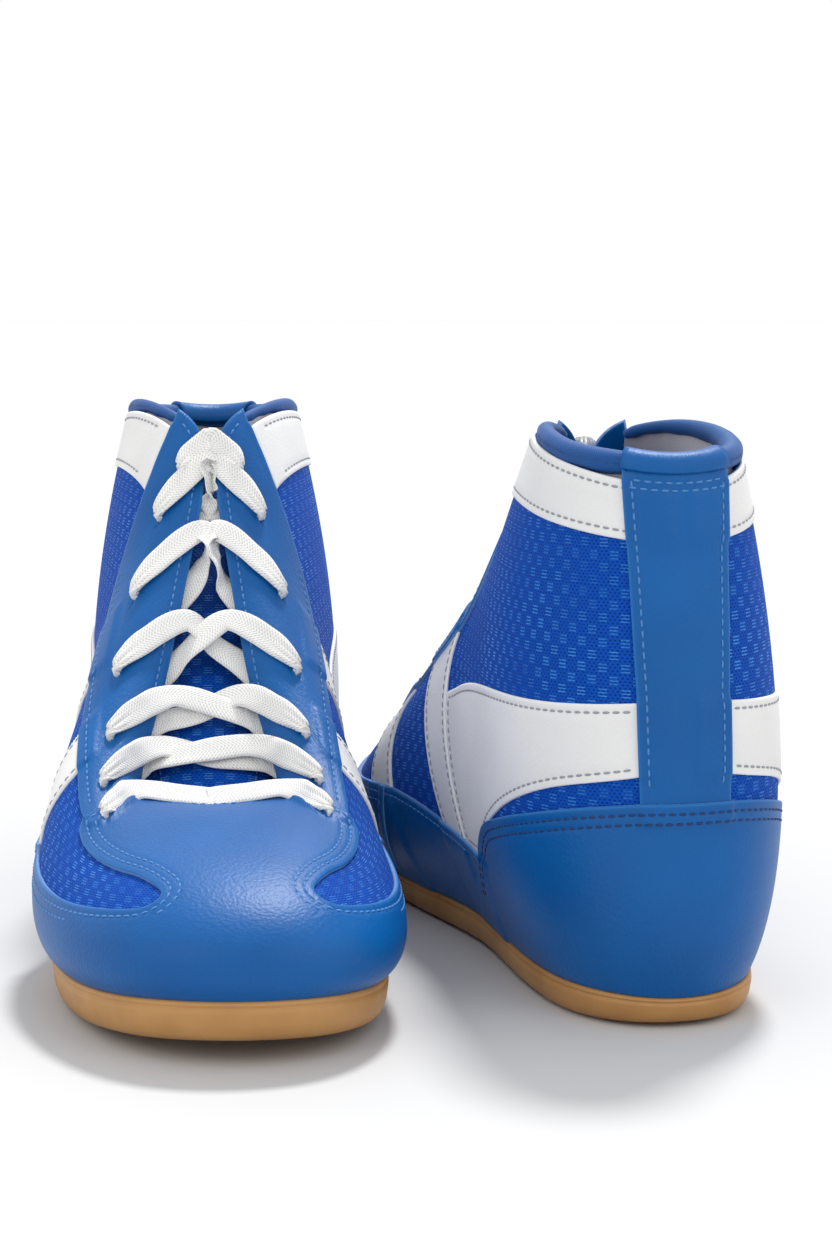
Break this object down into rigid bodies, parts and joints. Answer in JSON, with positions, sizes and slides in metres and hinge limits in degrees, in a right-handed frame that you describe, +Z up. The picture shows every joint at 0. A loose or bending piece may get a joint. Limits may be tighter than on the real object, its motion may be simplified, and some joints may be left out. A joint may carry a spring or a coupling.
{
  "type": "boxing boots",
  "caption": "Pair of mid-height lace-up boxing boots: mesh and leather uppers with side straps, padded collars, flat laces and gum rubber soles.",
  "frame": {"origin": "middle of the pair's footprint, on the ground", "axes": "+Z up; -Y to the side that the right boot's toe points to; the right boot stands on the -X side"},
  "size_m": [0.2206, 0.325, 0.1717],
  "materials": {
    "blue_leather": "fine full grain, satin",
    "blue_mesh": "knitted mesh",
    "white_synthetic": "smooth synthetic leather, satin",
    "lace_cotton": "flat woven cotton",
    "aglet_plastic": "clear-coated film",
    "gum_rubber": "matt gum rubber",
    "lining_knit": "brushed knit",
    "blue_binding": "padded jersey",
    "board": "fibre board"
  },
  "bodies": {
    "right_boot": {"right_outsole": "gum_rubber", "right_insole_board": "board", "right_sock_liner": "lining_knit", "right_lining_lateral": "lining_knit", "right_lining_medial": "lining_knit", "right_heel_stiffener": "board", "right_toe_puff": "board", "right_quarter_lateral": "blue_mesh", "right_quarter_medial": "blue_mesh", "right_collar_band_lateral": "white_synthetic", "right_collar_band_medial": "white_synthetic", "right_ankle_band_lateral": "white_synthetic", "right_ankle_band_medial": "white_synthetic", "right_front_strap_lateral": "white_synthetic", "right_front_strap_medial": "white_synthetic", "right_rear_strap_lateral": "white_synthetic", "right_rear_strap_medial": "white_synthetic", "right_toe_vamp": "blue_leather", "right_rand_lateral": "blue_leather", "right_rand_medial": "blue_leather", "right_facing_lateral": "blue_leather", "right_facing_medial": "blue_leather", "right_heel_counter": "blue_leather", "right_backstay": "blue_leather", "right_collar_binding": "blue_binding", "right_lace": "lace_cotton", "right_aglet_lateral": "aglet_plastic", "right_aglet_medial": "aglet_plastic"},
    "right_tongue": {"right_tongue": "blue_mesh"},
    "left_boot": {"left_outsole": "gum_rubber", "left_insole_board": "board", "left_sock_liner": "lining_knit", "left_lining_lateral": "lining_knit", "left_lining_medial": "lining_knit", "left_heel_stiffener": "board", "left_toe_puff": "board", "left_quarter_lateral": "blue_mesh", "left_quarter_medial": "blue_mesh", "left_collar_band_lateral": "white_synthetic", "left_collar_band_medial": "white_synthetic", "left_ankle_band_lateral": "white_synthetic", "left_ankle_band_medial": "white_synthetic", "left_front_strap_lateral": "white_synthetic", "left_front_strap_medial": "white_synthetic", "left_rear_strap_lateral": "white_synthetic", "left_rear_strap_medial": "white_synthetic", "left_toe_vamp": "blue_leather", "left_rand_lateral": "blue_leather", "left_rand_medial": "blue_leather", "left_facing_lateral": "blue_leather", "left_facing_medial": "blue_leather", "left_heel_counter": "blue_leather", "left_backstay": "blue_leather", "left_collar_binding": "blue_binding", "left_lace": "lace_cotton", "left_aglet_lateral": "aglet_plastic", "left_aglet_medial": "aglet_plastic"},
    "left_tongue": {"left_tongue": "blue_mesh"}
  },
  "joints": [
    {"name": "right_tongue_hinge", "type": "hinge", "parent": "right_boot", "child": "right_tongue", "pos_m": [-0.0565, -0.074, 0.04], "axis": [-0.9979, -0.0645, 0], "range_deg": [0, 12]},
    {"name": "left_lift", "type": "slide", "parent": "right_boot", "child": "left_boot", "axis": [0, 0, 1], "range_m": [0, 0.3]},
    {"name": "left_tongue_hinge", "type": "hinge", "parent": "left_boot", "child": "left_tongue", "pos_m": [0.0353, 0.0734, 0.04], "axis": [0.9759, 0.2181, 0], "range_deg": [0, 12]}
  ]
}
